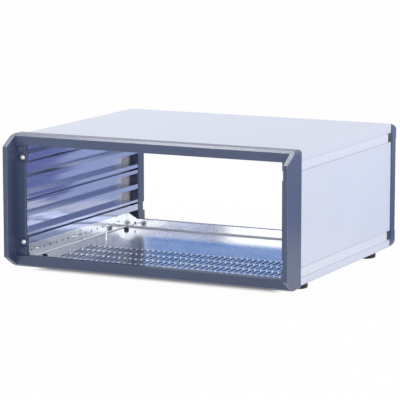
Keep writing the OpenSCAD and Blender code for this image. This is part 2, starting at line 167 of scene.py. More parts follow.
class NodeSheet:
    """Node tree of one material, with short calls for the nodes that the finishes share."""

    def __init__(self, name: str) -> None:
        """Starts a material with its shader and its object coordinates.

        Args:
            name: Name of the material.
        """
        self.material = bpy.data.materials.new(name)
        self.material.use_nodes = True
        self.tree = self.material.node_tree
        self.shader = self.tree.nodes["Principled BSDF"]
        self.place: Socket = self.add("ShaderNodeTexCoord").outputs["Object"]

    def add(self, kind: str) -> bpy.types.Node:
        """Adds a node of the kind and returns it."""
        return self.tree.nodes.new(kind)

    def link(self, source: Socket, target: Socket) -> None:
        """Joins an output to an input."""
        self.tree.links.new(source, target)

    def feed(self, target: str, source: Socket) -> None:
        """Joins an output to a named input of the shader."""
        self.link(source, self.shader.inputs[target])

    def fix(self, **values: float | tuple[float, ...]) -> None:
        """Sets inputs of the shader, whose names have an underscore for each space."""
        for name, value in values.items():
            self.shader.inputs[name.replace("_", " ")].default_value = value

    def show(self, look: Socket) -> None:
        """Makes a look the surface of the material."""
        self.link(look, self.tree.nodes["Material Output"].inputs["Surface"])

    def glow(self, colour: Colour) -> Socket:
        """Adds an even glow.

        Args:
            colour: Colour of the glow.

        Returns:
            The glow, as a look.
        """
        node = self.add("ShaderNodeEmission")
        node.inputs["Color"].default_value = (*colour, 1.0)
        return node.outputs["Emission"]

    def stretched(self, stretch: Point) -> Socket:
        """Scales the object coordinates.

        Args:
            stretch: Factor along each axis.

        Returns:
            The scaled coordinates.
        """
        node = self.add("ShaderNodeMapping")
        node.inputs["Scale"].default_value = stretch
        self.link(self.place, node.inputs["Vector"])
        return node.outputs["Vector"]

    def noise(self, pattern: Noise) -> Socket:
        """Adds a noise texture.

        Args:
            pattern: Scale, detail and stretch of the noise.

        Returns:
            The noise, from 0 to 1.
        """
        node = self.add("ShaderNodeTexNoise")
        node.inputs["Scale"].default_value = pattern.scale
        node.inputs["Detail"].default_value = pattern.detail
        where = self.stretched(pattern.stretch) if pattern.stretch else self.place
        self.link(where, node.inputs["Vector"])
        return node.outputs["Fac"]

    def span(self, value: Socket, low: float, high: float, source: Span = NOISE_CORE) -> Socket:
        """Maps a value to a new range.

        Args:
            value: Value to map.
            low: Result at the low end of the source range.
            high: Result at the high end of the source range.
            source: Range of the value.

        Returns:
            The mapped value, kept inside the new range.
        """
        node = self.add("ShaderNodeMapRange")
        node.inputs["From Min"].default_value = source[0]
        node.inputs["From Max"].default_value = source[1]
        node.inputs["To Min"].default_value = low
        node.inputs["To Max"].default_value = high
        self.link(value, node.inputs["Value"])
        return node.outputs["Result"]

    def swing(self, noise: Socket, middle: float, reach: float) -> Socket:
        """Lets noise move a value about its middle.

        Args:
            noise: Noise that moves the value.
            middle: Middle of the value.
            reach: How far the value moves to either side.

        Returns:
            The moving value.
        """
        return self.span(noise, middle - reach, middle + reach)

    def calc(self, operation: str, first: Socket, second: Socket | float | None = None) -> Socket:
        """Works a value out from one or two others.

        Args:
            operation: Name of the operation.
            first: First value.
            second: Second value, linked or fixed, where the operation takes one.

        Returns:
            The result.
        """
        node = self.add("ShaderNodeMath")
        node.operation = operation
        self.link(first, node.inputs[0])
        if isinstance(second, Socket):
            self.link(second, node.inputs[1])
        elif second is not None:
            node.inputs[1].default_value = second
        return node.outputs["Value"]

    def mix(self, share: Socket, first: Colour | Socket, second: Colour | Socket) -> Socket:
        """Mixes two colours.

        Args:
            share: Share of the second colour.
            first: First colour, fixed or linked.
            second: Second colour, fixed or linked.

        Returns:
            The mixed colour.
        """
        node = self.add("ShaderNodeMix")
        node.data_type = "RGBA"
        self.link(share, node.inputs["Factor"])
        for index, colour in zip(MIX_COLOURS, (first, second)):
            if isinstance(colour, Socket):
                self.link(colour, node.inputs[index])
            else:
                node.inputs[index].default_value = (*colour, 1.0)
        return node.outputs[MIX_RESULT]

    def bump(self, height: Socket, depth: float) -> Socket:
        """Turns a height into a bent normal.

        Args:
            height: Height from 0 to 1.
            depth: Depth in metres.

        Returns:
            The normal.
        """
        node = self.add("ShaderNodeBump")
        node.inputs["Strength"].default_value = 1.0
        node.inputs["Distance"].default_value = depth
        self.link(height, node.inputs["Height"])
        return node.outputs["Normal"]

    def carried(self, mark: str) -> Socket:
        """Finds a mark on the faces of a piece.

        Args:
            mark: Name of the mark.

        Returns:
            The mark's value, or 0 where a face carries none.
        """
        node = self.add("ShaderNodeAttribute")
        node.attribute_name = mark
        return node.outputs["Fac"]

    def axes(self) -> dict[Axis, Socket]:
        """Splits the object coordinates.

        Returns:
            The coordinate along each axis.
        """
        node = self.add("ShaderNodeSeparateXYZ")
        self.link(self.place, node.inputs["Vector"])
        return {axis: node.outputs[axis.value] for axis in Axis}

    def cut_edge_shading(self, colour: Socket, edges: CutEdgeShading) -> Socket:
        """Puts the painted shade of the slots' sides and the painted highlight of their far ends over a
        colour.

        Args:
            colour: Colour of the whole faces.
            edges: Colours of the painted shade and the painted highlight.

        Returns:
            The mixed colour.
        """
        shaded_sides = self.mix(self.carried(SHADED_CUT_SIDE), colour, edges.side)
        return self.mix(self.carried(LIT_CUT_END), shaded_sides, edges.end)

    def shade(self, colour: Socket, band: ShadeBand) -> Socket:
        """Puts a shaded band over a colour.

        Args:
            colour: Colour of the whole faces.
            band: Place and colour of the band.

        Returns:
            The mixed colour.
        """
        axes = self.axes()
        place = axes[band.axis]
        outside = self.calc("GREATER_THAN", self.calc("ABSOLUTE", axes[Axis.X]), band.off_middle)
        along = self.calc("MULTIPLY", self.span(place, *UNIT, band.rise),
                          self.calc("LESS_THAN", place, band.stop))
        return self.mix(self.calc("MULTIPLY", along, outside), colour, band.colour)


# Finishes


class Finish(Protocol):
    """A finish that can be made into a material."""

    def make(self) -> bpy.types.Material:
        """Builds the material and returns it."""


@dataclass(frozen=True)
class PowderCoat:
    """Baked coat with a fine orange peel, a little patchy and lighter on worn edges.

    Attributes:
        name: Name of the material.
        colour: Main colour.
        patch: Colour of the patches.
        edge: Colour of the worn edges.
        roughness: Middle of the roughness.
        grain: Width of a bump of the peel.
        grain_depth: Depth of the peel.
        band: Dark band of the coat, if it has one.
        patch_noise: Pattern of the patches.
        wear_noise: Pattern of the wear along the edges.
        least_wear: Least share of wear on an edge.
        roughness_swing: How far the roughness moves to either side.
    """

    name: str
    colour: Colour
    patch: Colour
    edge: Colour
    roughness: float
    grain: float
    grain_depth: float
    band: ShadeBand | None = None
    patch_noise: Noise = Noise(9.0, 3.0)
    wear_noise: Noise = Noise(160.0, 4.0)
    least_wear: float = 0.35
    roughness_swing: float = 0.05

    def make(self) -> bpy.types.Material:
        """Builds the coat.

        Returns:
            The material.
        """
        sheet = NodeSheet(self.name)
        patches = sheet.span(sheet.noise(self.patch_noise), *UNIT)
        colour = sheet.mix(patches, self.colour, self.patch)
        rubbed = sheet.span(sheet.noise(self.wear_noise), self.least_wear, 1.0)
        wear = sheet.calc("MULTIPLY", sheet.carried(WEAR), rubbed)
        # Painted shade and painted highlight on the punched edges, where the sheet carries their marks
        coat = sheet.cut_edge_shading(sheet.mix(wear, colour, self.edge), CutEdgeShading())
        sheet.feed("Base Color", sheet.shade(coat, self.band) if self.band else coat)
        peel = sheet.noise(Noise(1.0 / self.grain))
        sheet.feed("Roughness", sheet.swing(peel, self.roughness, self.roughness_swing))
        sheet.feed("Normal", sheet.bump(peel, self.grain_depth))
        return sheet.material


@dataclass(frozen=True)
class PanelMasks:
    """Shares, from 0 to 1, of the parts of a side panel that have a finish of their own: the coat, the
    painted reflection near the rear, the sawn end with its painted highlight and the painted shade behind
    the tray's flange.
    """

    outside: Socket
    painted_reflection: Socket
    sawn: Socket
    tray_shade: Socket


@dataclass(frozen=True)
class ExtrudedPanel:
    """Extruded aluminium with die lines, bright inside and coated outside, with a painted reflection near
    the rear, a sawn front end lightened by a painted highlight, and painted shade behind the tray's flange.

    Attributes:
        outer_face: Distance from the middle of the case past which the panel is coated.
        wall_face: Distance from the middle of the case past which the wall lies behind the ribs.
        sawn_face: Place of the sawn end along the case.
        sawn_depth: Depth of the sawn end.
        painted_reflection_span: Places along the case where the painted reflection starts and where it is
            full.
        tray_shade_before: Place along the case before which the panel takes painted shade behind the tray's
            flange.
        tray_shade_below: Height below which the panel takes painted shade behind the tray's flange.
        trim_shadow: Painted shadow under the upper trim strip.
    """

    outer_face: float
    wall_face: float
    sawn_face: float
    sawn_depth: float
    painted_reflection_span: Span
    tray_shade_before: float
    tray_shade_below: float
    trim_shadow: ShadeBand
    name: str = "extruded_panel"
    metal: Colour = (0.47, 0.52, 0.72)
    metal_dark: Colour = (0.43, 0.48, 0.68)
    coat: Colour = (0.65, 0.69, 0.82)
    coat_patch: Colour = (0.67, 0.71, 0.835)
    # Colour of the bare sawn end, lightened as a painted highlight
    sawn: Colour = (0.80, 0.82, 0.88)
    # Pale, nearly matt colour painted near the rear of the wall as a painted reflection
    painted_reflection: Colour = (0.93, 0.90, 0.90)
    # Near-black colour painted as shade behind the tray's flange, where it shows through the flange's holes
    tray_shade: Colour = (0.02, 0.02, 0.03)
    metallic: float = 0.85
    painted_reflection_metallic: float = 0.1
    metal_roughness: float = 0.09
    roughness_swing: float = 0.03
    dull_roughness: float = 0.45
    die_lines: Noise = Noise(900.0, 3.0, (1.0, 0.004, 1.0))
    broad_lines: Noise = Noise(60.0, 2.0, (1.0, 0.03, 1.0))
    coat_noise: Noise = Noise(8.0)
    line_depth: float = 0.003 * MM

    def make(self) -> bpy.types.Material:
        """Builds the panel's finish, coated outside the outer face and dull at its ends.

        Returns:
            The material.
        """
        sheet = NodeSheet(self.name)
        masks = self.masks(sheet)
        sheet.feed("Base Color", self.colours(sheet, masks))
        dull = sheet.calc("MAXIMUM", sheet.calc("MAXIMUM", masks.outside, masks.sawn), masks.tray_shade)
        bright = sheet.calc("LESS_THAN", dull, MASK_MIDDLE)
        # The painted reflection is nearly matt, so its pale colour shows as painted
        shine = sheet.span(masks.painted_reflection, self.metallic, self.painted_reflection_metallic, UNIT)
        sheet.feed("Metallic", sheet.calc("MULTIPLY", bright, shine))
        lines = sheet.noise(self.die_lines)
        rough = sheet.swing(lines, self.metal_roughness, self.roughness_swing)
        dull_part = sheet.calc("MULTIPLY", dull, self.dull_roughness)
        sheet.feed("Roughness", sheet.calc("ADD", dull_part, sheet.calc("MULTIPLY", rough, bright)))
        sheet.feed("Normal", sheet.bump(lines, self.line_depth))
        return sheet.material

    def masks(self, sheet: NodeSheet) -> PanelMasks:
        """Tells the parts of the panel from each other by their places.

        Args:
            sheet: Node tree of the finish.

        Returns:
            The share of each part.
        """
        axes = sheet.axes()
        across = sheet.calc("ABSOLUTE", axes[Axis.X])
        on_wall = sheet.calc("GREATER_THAN", across, self.wall_face)
        off_end = sheet.calc("ABSOLUTE", sheet.calc("SUBTRACT", axes[Axis.Y], self.sawn_face))
        before = sheet.calc("LESS_THAN", axes[Axis.Y], self.tray_shade_before)
        below = sheet.calc("LESS_THAN", axes[Axis.Z], self.tray_shade_below)
        return PanelMasks(
            outside=sheet.calc("GREATER_THAN", across, self.outer_face),
            painted_reflection=sheet.calc("MULTIPLY", on_wall, sheet.span(axes[Axis.Y], *UNIT, self.painted_reflection_span)),
            sawn=sheet.calc("LESS_THAN", off_end, self.sawn_depth),
            tray_shade=sheet.calc("MULTIPLY", before, below),
        )

    def colours(self, sheet: NodeSheet, masks: PanelMasks) -> Socket:
        """Lays the colours of the parts over each other.

        Args:
            sheet: Node tree of the finish.
            masks: Share of each part.

        Returns:
            The colour of the whole panel.
        """
        broad = sheet.span(sheet.noise(self.broad_lines), *UNIT)
        metal = sheet.mix(masks.painted_reflection, sheet.mix(broad, self.metal, self.metal_dark), self.painted_reflection)
        patches = sheet.span(sheet.noise(self.coat_noise), *UNIT)
        # Painted shadow under the upper trim strip
        coat = sheet.shade(sheet.mix(patches, self.coat, self.coat_patch), self.trim_shadow)
        open_part = sheet.mix(masks.outside, sheet.mix(masks.sawn, metal, self.sawn), coat)
        # Painted shade behind the tray's flange
        return sheet.mix(masks.tray_shade, open_part, self.tray_shade)


@dataclass(frozen=True)
class RolledSheet:
    """Bright rolled sheet with a fine grain across the case and faint handling marks.

    Attributes:
        metal: Main colour.
        dull: Colour of the handling marks.
        metallic: Share of metal in the finish, which the cut edges don't have.
        roughness_swing: How far the grain moves the roughness to either side.
        mark_roughness: Least and most that the marks add to the roughness.
    """

    name: str
    metal: Colour
    dull: Colour
    metallic: float
    roughness: float
    roughness_swing: float = 0.03
    mark_roughness: Span = (-0.01, 0.015)
    marks: Noise = Noise(26.0, 5.0)
    grain: Noise = Noise(1400.0, 2.0, (0.02, 1.0, 1.0))
    grain_depth: float = 0.004 * MM

    def make(self) -> bpy.types.Material:
        """Builds the sheet's finish.

        Returns:
            The material.
        """
        sheet = NodeSheet(self.name)
        # Punched edges lose their metal, so that their painted shade and painted highlight show as painted
        cut = sheet.calc("MAXIMUM", sheet.carried(SHADED_CUT_SIDE), sheet.carried(LIT_CUT_END))
        sheet.feed("Metallic", sheet.span(cut, self.metallic, 0.0, UNIT))
        marks = sheet.noise(self.marks)
        metal = sheet.mix(sheet.span(marks, *UNIT), self.metal, self.dull)
        sheet.feed("Base Color", sheet.cut_edge_shading(metal, CutEdgeShading()))
        grain = sheet.noise(self.grain)
        rough = sheet.swing(grain, self.roughness, self.roughness_swing)
        sheet.feed("Roughness", sheet.calc("ADD", rough, sheet.span(marks, *self.mark_roughness)))
        sheet.feed("Normal", sheet.bump(grain, self.grain_depth))
        return sheet.material


@dataclass(frozen=True)
class PlatedSteel:
    """Bright plated steel with a soft, cloudy shine.

    Attributes:
        metal: Main colour.
        dull: Colour of the clouds.
        smoother: How far the roughness falls where it is clear.
        rougher: How far the roughness rises in the clouds.
    """

    name: str
    metal: Colour
    dull: Colour
    metallic: float
    roughness: float
    smoother: float = 0.06
    rougher: float = 0.08
    clouds: Noise = Noise(420.0, 4.0)
    grain: Noise = Noise(3000.0)
    grain_depth: float = 0.004 * MM

    def make(self) -> bpy.types.Material:
        """Builds the plating.

        Returns:
            The material.
        """
        sheet = NodeSheet(self.name)
        clouds = sheet.noise(self.clouds)
        sheet.feed("Base Color", sheet.mix(sheet.span(clouds, *UNIT), self.metal, self.dull))
        sheet.fix(Metallic=self.metallic)
        rough = sheet.span(clouds, self.roughness - self.smoother, self.roughness + self.rougher)
        sheet.feed("Roughness", rough)
        sheet.feed("Normal", sheet.bump(sheet.noise(self.grain), self.grain_depth))
        return sheet.material


@dataclass(frozen=True)
class MouldedBlack:
    """Black moulded rubber or nylon with a fine matt grain and grey dust.

    Attributes:
        colour: Main colour.
        dust: Colour of the dust.
        roughness_swing: How far the grain moves the roughness to either side.
        dust_core: Range of the noise over which the dust grows full.
    """

    name: str
    colour: Colour
    dust: Colour
    roughness: float
    roughness_swing: float = 0.08
    dust_noise: Noise = Noise(140.0, 4.0)
    dust_core: Span = (0.5, 0.8)
    grain: Noise = Noise(2600.0, 3.0)
    grain_depth: float = 0.03 * MM

    def make(self) -> bpy.types.Material:
        """Builds the moulded finish.

        Returns:
            The material.
        """
        sheet = NodeSheet(self.name)
        dust = sheet.span(sheet.noise(self.dust_noise), *UNIT, self.dust_core)
        sheet.feed("Base Color", sheet.mix(dust, self.colour, self.dust))
        grain = sheet.noise(self.grain)
        sheet.feed("Roughness", sheet.swing(grain, self.roughness, self.roughness_swing))
        sheet.feed("Normal", sheet.bump(grain, self.grain_depth))
        return sheet.material


def dress(pieces: Iterable[bpy.types.Object], finish: Finish) -> None:
    """Gives pieces one finish.

    Args:
        pieces: Pieces or CAD nodes.
        finish: Finish for all of them.
    """
    material = finish.make()
    for piece in pieces:
        piece.data.materials.clear()
        piece.data.materials.append(material)
        LOG.info("%s takes %s", piece.name, material.name)


# Shapes that the sub-assemblies share


@dataclass(frozen=True)
class EdgeRound:
    """Rounding of the outward edges of a piece.

    Attributes:
        radius: Reach of the rounding from the edge.
        segments: Faces across the rounding.
        least_angle: Least angle between the faces of an edge that is rounded.
        least_length: Least length of an edge that is rounded.
        soft_angle: Angle from which an edge beside the rounding looks sharp.
        flat_angle: Angle from which any other edge looks sharp.
        plane_angle: Angle up to which triangles are joined to one face.
    """

    radius: float
    segments: int = 2
    least_angle: float = math.radians(30)
    least_length: float = 3 * MM
    soft_angle: float = math.radians(52)
    flat_angle: float = math.radians(12)
    plane_angle: float = math.radians(0.5)


@dataclass(frozen=True)
class SheetMarks:
    """Limits that tell the edges and bends of a folded sheet from its flat faces.

    Attributes:
        flat: Part of a normal along one axis from which a face is flat.
        upright: Part of a normal along Z up to which a face is upright.
        far_end: Part of a normal towards the front from which an edge is the far end of a hole.
        bend: Part of a normal, towards the front and upwards, from which a face is in the rear bend.
        sharp_angle: Angle from which an edge looks sharp.
    """

    flat: float = 0.999
    upright: float = 0.3
    far_end: float = 0.5
    bend: float = 0.05
    sharp_angle: float = math.radians(25)


def add_object(shape: bmesh.types.BMesh, name: str) -> bpy.types.Object:
    """Turns a bmesh into an object of the scene.

    Args:
        shape: Finished shape, which is freed.
        name: Name of the object and its mesh.

    Returns:
        The object.
    """
    mesh = bpy.data.meshes.new(name)
    shape.to_mesh(mesh)
    shape.free()
    made = bpy.data.objects.new(name, mesh)
    bpy.context.scene.collection.objects.link(made)
    return made


def finish_piece(shape: bmesh.types.BMesh, piece: str,
                 stands_for: Iterable[str] = ()) -> bpy.types.Object:
    """Turns a bmesh into a piece of the object.

    Args:
        shape: Finished shape, which is freed.
        piece: Name of the piece.
        stands_for: CAD nodes that it replaces.

    Returns:
        The piece, riding on the body.
    """
    made = add_object(shape, piece)
    normals = made.modifiers.new("even_shading", "WEIGHTED_NORMAL")
    normals.keep_sharp = True
    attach(made, BODY)
    if stands_for:
        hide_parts(*stands_for)
    LOG.info("piece %s: %d faces", piece, len(made.data.polygons))
    return made


def merged_copy(node: str) -> bmesh.types.BMesh:
    """Copies a CAD node and joins its loose triangles.

    Args:
        node: Name of the CAD node.

    Returns:
        The copy.
    """
    shape = bmesh.new()
    shape.from_mesh(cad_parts[node].data)
    bmesh.ops.remove_doubles(shape, verts=shape.verts, dist=MERGE_DISTANCE)
    return shape


def sharpen(shape: bmesh.types.BMesh, angle: float) -> None:
    """Makes the edges of a shape look sharp from an angle on, and the others smooth."""
    for edge in shape.edges:
        edge.smooth = edge.calc_face_angle(0.0) < angle


def rounded_copy(node: str, piece: str, rounding: EdgeRound) -> bpy.types.Object:
    """Copies a CAD node, rounds its outward edges and lets the copy stand for the node.

    Args:
        node: Name of the CAD node.
        piece: Name of the new piece.
        rounding: Size of the rounding.

    Returns:
        The new piece.
    """
    shape = merged_copy(node)
    bmesh.ops.dissolve_limit(shape, angle_limit=rounding.plane_angle, verts=shape.verts, edges=shape.edges)
    wear = shape.faces.layers.float.new(WEAR)
    edges = [edge for edge in shape.edges
             if len(edge.link_faces) == 2 and edge.is_convex
             and edge.calc_face_angle(0.0) > rounding.least_angle
             and edge.calc_length() > rounding.least_length]
    made = bmesh.ops.bevel(shape, geom=edges, offset=rounding.radius, offset_type="OFFSET",
                           segments=rounding.segments, profile=0.5, affect="EDGES",
                           clamp_overlap=False, material=-1)
    for face in made["faces"]:
        face[wear] = 1.0
    for face in shape.faces:
        face.smooth = True
    for edge in shape.edges:
        rounded = any(face[wear] > 0.0 for face in edge.link_faces)
        edge.smooth = edge.calc_face_angle(0.0) < (rounding.soft_angle if rounded else rounding.flat_angle)
    return finish_piece(shape, piece, [node])


def sheet_thickness() -> float:
    """Returns the thickness of the folded sheets, from the tray that lies on the bottom cover."""
    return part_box("chassis_tray")[0].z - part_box("bottom_cover")[0].z


def sheet_copy(node: str, piece: str, marks: SheetMarks = SheetMarks()) -> bpy.types.Object:
    """Copies a folded sheet and marks its rear bend and the punched edges of its floor, which take painted
    shade on the slots' sides and a painted highlight on their far ends and on the bend.

    Args:
        node: Name of the CAD node.
        piece: Name of the new piece.
        marks: Limits that tell the edges and bends from the flat faces.

    Returns:
        The new piece.
    """
    shape = merged_copy(node)
    side = shape.faces.layers.float.new(SHADED_CUT_SIDE)
    end = shape.faces.layers.float.new(LIT_CUT_END)
    floor_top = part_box(node)[0].z + sheet_thickness()
    for face in shape.faces:
        face.smooth = max(abs(part) for part in face.normal) < marks.flat
        # Sides of the punched slots take painted shade; their far ends and the rear bend take a painted
        # highlight
        if abs(face.normal.z) < marks.upright and face.calc_center_median().z < floor_top:
            face[end if face.normal.y < -marks.far_end else side] = 1.0
        elif face.normal.y < -marks.bend and face.normal.z > marks.bend:
            face[end] = 1.0
    sharpen(shape, marks.sharp_angle)
    return finish_piece(shape, piece, [node])


# Sub-assemblies of the case


@dataclass
class CastFrames:
    """Dark cast frames at the front and the rear, with softened edges and darker lugs behind the trim.

    Attributes:
        rounding: Rounding of the frames' edges.
        paint: Coat of both frames.
        lug: Colour of the lugs that close the rear ends of the trim strips.
        lug_gap: How far before a strip's rear end and inside its inner face the lugs' colour starts.
    """

    rounding: EdgeRound = EdgeRound(0.7 * MM)
    paint: PowderCoat = PowderCoat(
        name="slate_coat",
        colour=(0.066, 0.091, 0.176),
        patch=(0.074, 0.101, 0.192),
        edge=(0.15, 0.19, 0.30),
        roughness=0.32,
        grain=0.5 * MM,
        grain_depth=0.015 * MM,
    )
    lug: Colour = (0.022, 0.038, 0.062)
    lug_gap: float = 0.3 * MM

    def build(self) -> list[bpy.types.Object]:
        """Makes both frames and returns them."""
        return [rounded_copy(node, f"{node}_casting", self.rounding)
                for node in ("front_frame", "rear_frame")]

    def dress(self, pieces: list[bpy.types.Object]) -> None:
        """Paints the frames.

        Args:
            pieces: Both frames.
        """
        low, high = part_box("upper_right_trim")
        lugs = ShadeBand(
            axis=Axis.Y,
            rise=(high.y - self.lug_gap, high.y),
            stop=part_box("right_side_panel")[1].y,
            colour=self.lug,
            off_middle=low.x - self.lug_gap,
        )
        dress(pieces, replace(self.paint, band=lugs))


@dataclass
class Shell:
    """Covers, trim strips and side panels round the body.

    Attributes:
        cover: Coat of both covers.
        trim: Coat of the trim strips.
        rounding: Rounding of the panels' edges.
        coat_depth: How far the outer coat reaches into a panel.
        wall_depth: How far a panel's wall reaches inwards from its outer face.
        sawn_depth: Depth of a panel's sawn front end.
        painted_reflection_from: Distance of the painted reflection's start from a panel's rear end.
        painted_reflection_run: Length over which the painted reflection grows full.
        tray_shade_drop: How far below the tray's rim the painted shade on a panel begins.
        tray_shade_short: How far before the tray's rear the painted shade on a panel ends.
        trim_shadow: Colour of the painted shadow under a trim strip.
        trim_shadow_width: Distance below a strip at which the painted shadow starts.
        trim_shadow_core: Distance below a strip at which the painted shadow is full.
    """

    cover: PowderCoat = PowderCoat(
        name="pale_coat",
        colour=(0.66, 0.70, 0.83),
        patch=(0.68, 0.72, 0.845),
        edge=(0.72, 0.75, 0.86),
        roughness=0.45,
        grain=0.45 * MM,
        grain_depth=0.012 * MM,
    )
    trim: PowderCoat = PowderCoat(
        name="trim_coat",
        colour=(0.70, 0.74, 0.85),
        patch=(0.72, 0.76, 0.86),
        edge=(0.76, 0.79, 0.89),
        roughness=0.38,
        grain=0.4 * MM,
        grain_depth=0.008 * MM,
    )
    rounding: EdgeRound = EdgeRound(0.35 * MM)
    coat_depth: float = 1.2 * MM
    wall_depth: float = 2.8 * MM
    sawn_depth: float = 0.2 * MM
    painted_reflection_from: float = 64 * MM
    painted_reflection_run: float = 36 * MM
    tray_shade_drop: float = 2 * MM
    tray_shade_short: float = 40 * MM
    trim_shadow: Colour = (0.30, 0.33, 0.40)
    trim_shadow_width: float = 1.8 * MM
    trim_shadow_core: float = 0.5 * MM

    def dress(self) -> None:
        """Dresses the covers, the trim strips and the side panels, in that order."""
        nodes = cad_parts
        floor = sheet_copy("bottom_cover", "bottom_cover_sheet")
        dress([nodes["top_cover"]], self.cover)
        # The bottom cover takes a painted shadow under the lower trim strip
        dress([floor], replace(self.cover, name="pale_coat_below", band=self.under("lower_right_trim")))
        dress([nodes[f"{end}_{side}_trim"] for end in ("upper", "lower") for side in ("left", "right")],
              self.trim)
        dress(self.build_panels(), self.panel_finish())

    def under(self, trim: str) -> ShadeBand:
        """Places the thin painted shadow under a trim strip.

        Args:
            trim: Name of the strip's CAD node.

        Returns:
            The band.
        """
        low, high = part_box(trim)
        return ShadeBand(
            axis=Axis.Z,
            rise=(low.z - self.trim_shadow_width, low.z - self.trim_shadow_core),
            stop=high.z,
            colour=self.trim_shadow,
        )

    def build_panels(self) -> list[bpy.types.Object]:
        """Makes both side panels with softened edges and returns them."""
        return [rounded_copy(node, f"{node}_extrusion", self.rounding)
                for node in ("left_side_panel", "right_side_panel")]

    def panel_finish(self) -> ExtrudedPanel:
        """Places the finish of the side panels.

        Returns:
            The finish, which suits both panels.
        """
        low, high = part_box("right_side_panel")
        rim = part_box("chassis_tray")[1]
        painted_reflection = high.y - self.painted_reflection_from
        return ExtrudedPanel(
            outer_face=high.x - self.coat_depth,
            wall_face=high.x - self.wall_depth,
            sawn_face=low.y,
            sawn_depth=self.sawn_depth,
            painted_reflection_span=(painted_reflection, painted_reflection + self.painted_reflection_run),
            tray_shade_before=rim.y - self.tray_shade_short,
            tray_shade_below=rim.z - self.tray_shade_drop,
            trim_shadow=self.under("upper_right_trim"),
        )


@dataclass
class Vents:
    """Slots in the floor of the tray, with burnished rims at their far ends.

    Attributes:
        rows: Rows of slots, from the front to the rear.
        columns_each_side: Columns of slots on either side of the middle one.
        pitch_x: Distance between columns.
        pitch_y: Distance between rows.
        first_row: Distance of the first row's middle from the rear face of the front frame.
        length: Length of a slot.
        width: Width of a slot.
        rim_depth: Depth of a rim below the top of the sheet.
        rim_thickness: Thickness of a rim at its foot.
        rim_angle: Part of a slot's round end that its rim covers.
        rim_steps: Faces along a rim.
    """

    rows: int = 4
    columns_each_side: int = 20
    pitch_x: float = 10 * MM
    pitch_y: float = 40 * MM
    first_row: float = 29 * MM
    length: float = 33 * MM
    width: float = 4.6 * MM
    rim_depth: float = 1.4 * MM
    rim_thickness: float = 0.45 * MM
    rim_angle: float = math.radians(140)
    rim_steps: int = 7

    def build(self, top: float) -> bpy.types.Object:
        """Makes the rims of all the slots as one piece.

        Args:
            top: Height of the tray's floor.

        Returns:
            The rims.
        """
        shape = bmesh.new()
        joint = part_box("front_frame")[1].y
        reach = (self.length - self.width) / 2
        for row in range(self.rows):
            y = joint + self.first_row + row * self.pitch_y + reach
            for column in range(-self.columns_each_side, self.columns_each_side + 1):
                self.add_rim(shape, Vector((column * self.pitch_x, y, top)))
        bmesh.ops.recalc_face_normals(shape, faces=shape.faces)
        return finish_piece(shape, "vent_rims")

    def add_rim(self, shape: bmesh.types.BMesh, centre: Vector) -> None:
        """Spins one rim round the far end of a slot.

        Args:
            shape: Mesh that the rim is added to.
            centre: Middle of the slot's round end, at the top of the sheet.
        """
        radius = self.width / 2
        turn = Matrix.Rotation((math.pi - self.rim_angle) / 2, 3, "Z")
        outline = [(radius, 0.0), (radius, -self.rim_depth), (radius - self.rim_thickness, -self.rim_depth)]
        section = shape.faces.new([shape.verts.new(centre + turn @ Vector((r, 0.0, z))) for r, z in outline])
        bmesh.ops.spin(shape, geom=[section, *section.edges, *section.verts], cent=centre, axis=(0, 0, 1),
                       angle=self.rim_angle, steps=self.rim_steps)


@dataclass
class EarthStud:
    """Threaded stud on the tray, with its two collars.

    Attributes:
        pitch: Pitch of the thread.
        thread_depth: Depth of the thread.
        collar: Height of a collar.
        steps: Faces round the stud.
        sharp_angle: Angle from which an edge looks sharp.
    """

    pitch: float = 0.7 * MM
    thread_depth: float = 0.35 * MM
    collar: float = 1.0 * MM
    steps: int = 24
    sharp_angle: float = math.radians(30)

    def build(self, top: float) -> bpy.types.Object:
        """Spins the stud from its half section.

        Args:
            top: Height of the tray's floor.

        Returns:
            The stud, which stands for its CAD node.
        """
        low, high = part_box("earth_stud")
        middle = (low + high) / 2
        shape = bmesh.new()
        verts = [shape.verts.new((middle.x + r, middle.y, z)) for r, z in self.half_section(top)]
        edges = [shape.edges.new(pair) for pair in zip(verts, verts[1:])]
        bmesh.ops.spin(shape, geom=verts + edges, cent=(middle.x, middle.y, 0.0), axis=(0, 0, 1),
                       angle=2 * math.pi, steps=self.steps, use_merge=True)
        bmesh.ops.remove_doubles(shape, verts=shape.verts, dist=MERGE_DISTANCE)
        bmesh.ops.recalc_face_normals(shape, faces=shape.faces)
        for face in shape.faces:
            face.smooth = True
        sharpen(shape, self.sharp_angle)
        return finish_piece(shape, "earth_stud_thread", ["earth_stud"])

    def half_section(self, top: float) -> list[Pair]:
        """Draws half the section of the stud, from its foot to its tip.

        Args:
            top: Height of the tray's floor.

        Returns:
            Points as a radius and a height.
        """
        low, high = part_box("earth_stud")
        middle = (low + high) / 2
        wide = (high.x - low.x) / 2
        radius = max(math.hypot(vertex.co.x - middle.x, vertex.co.y - middle.y)
                     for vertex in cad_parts["earth_stud"].data.vertices
                     if vertex.co.z > high.z - self.pitch)
        root = radius - self.thread_depth
        section = [(0.0, low.z), (wide, low.z), (wide, low.z + self.collar), (radius, low.z + self.collar),
                   (radius, top), (wide, top), (wide, top + self.collar)]
        for turn in range(int((high.z - top - self.collar) / self.pitch)):
            foot = top + self.collar + turn * self.pitch
            section += [(root, foot), (radius, foot + self.pitch / 2)]
        return [*section, (root, high.z), (0.0, high.z)]


